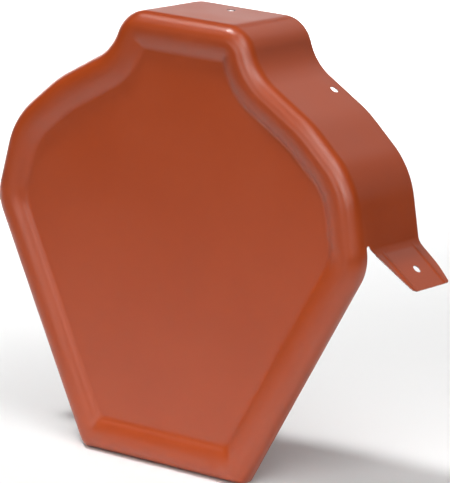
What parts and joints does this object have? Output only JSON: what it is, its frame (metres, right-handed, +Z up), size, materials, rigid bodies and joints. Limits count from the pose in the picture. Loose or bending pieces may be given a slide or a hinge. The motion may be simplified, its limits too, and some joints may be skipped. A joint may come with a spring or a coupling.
{
  "type": "ridge end cap",
  "caption": "Formed sheet-metal roof ridge end cap: recessed front panel with rolled border, hood running back over the ridge, and sloping screw tabs at the sides.",
  "frame": {"origin": "ridge seat: a point on the underside of the hood's flat crown, on the centre plane, 30 mm behind the crest of the front border", "axes": "+Z up, the front panel faces -Y, the hood runs back along +Y, +X to the right as seen from the front"},
  "size_m": [0.3142, 0.065, 0.2705],
  "materials": {
    "coated_sheet": "satin red-brown coating on steel sheet"
  },
  "bodies": {
    "root": {"end_cap": "coated_sheet"}
  },
  "joints": []
}
